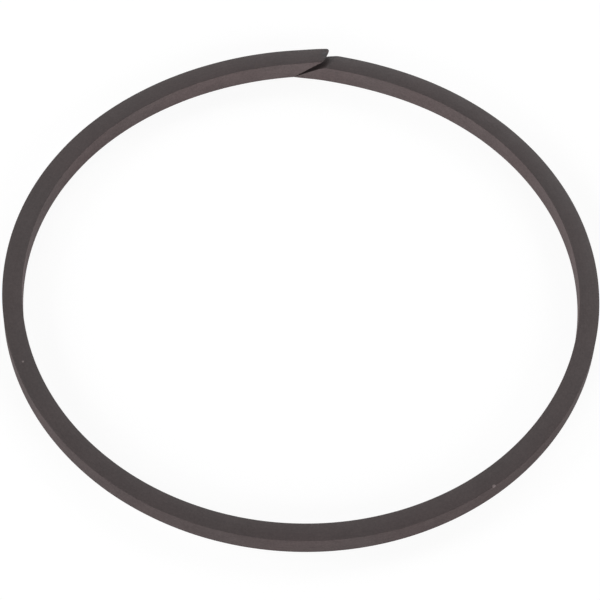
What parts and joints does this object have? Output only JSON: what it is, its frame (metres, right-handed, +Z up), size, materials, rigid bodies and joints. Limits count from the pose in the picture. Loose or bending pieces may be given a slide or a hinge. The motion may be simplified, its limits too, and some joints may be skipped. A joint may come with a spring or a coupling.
{
  "type": "sealing ring",
  "caption": "Split square-section sealing ring with a scarf-cut joint, its upper free end sprung proud of the lower one.",
  "frame": {"origin": "on the ring's axis, in the plane of the lower side face", "axes": "+Z up along the ring's axis, with the scarf joint centred on +Y"},
  "size_m": [0.07, 0.071, 0.0029],
  "materials": {
    "filled_polymer": "matte, finely mottled"
  },
  "bodies": {
    "root": {"sealing_ring": "filled_polymer"}
  },
  "joints": []
}
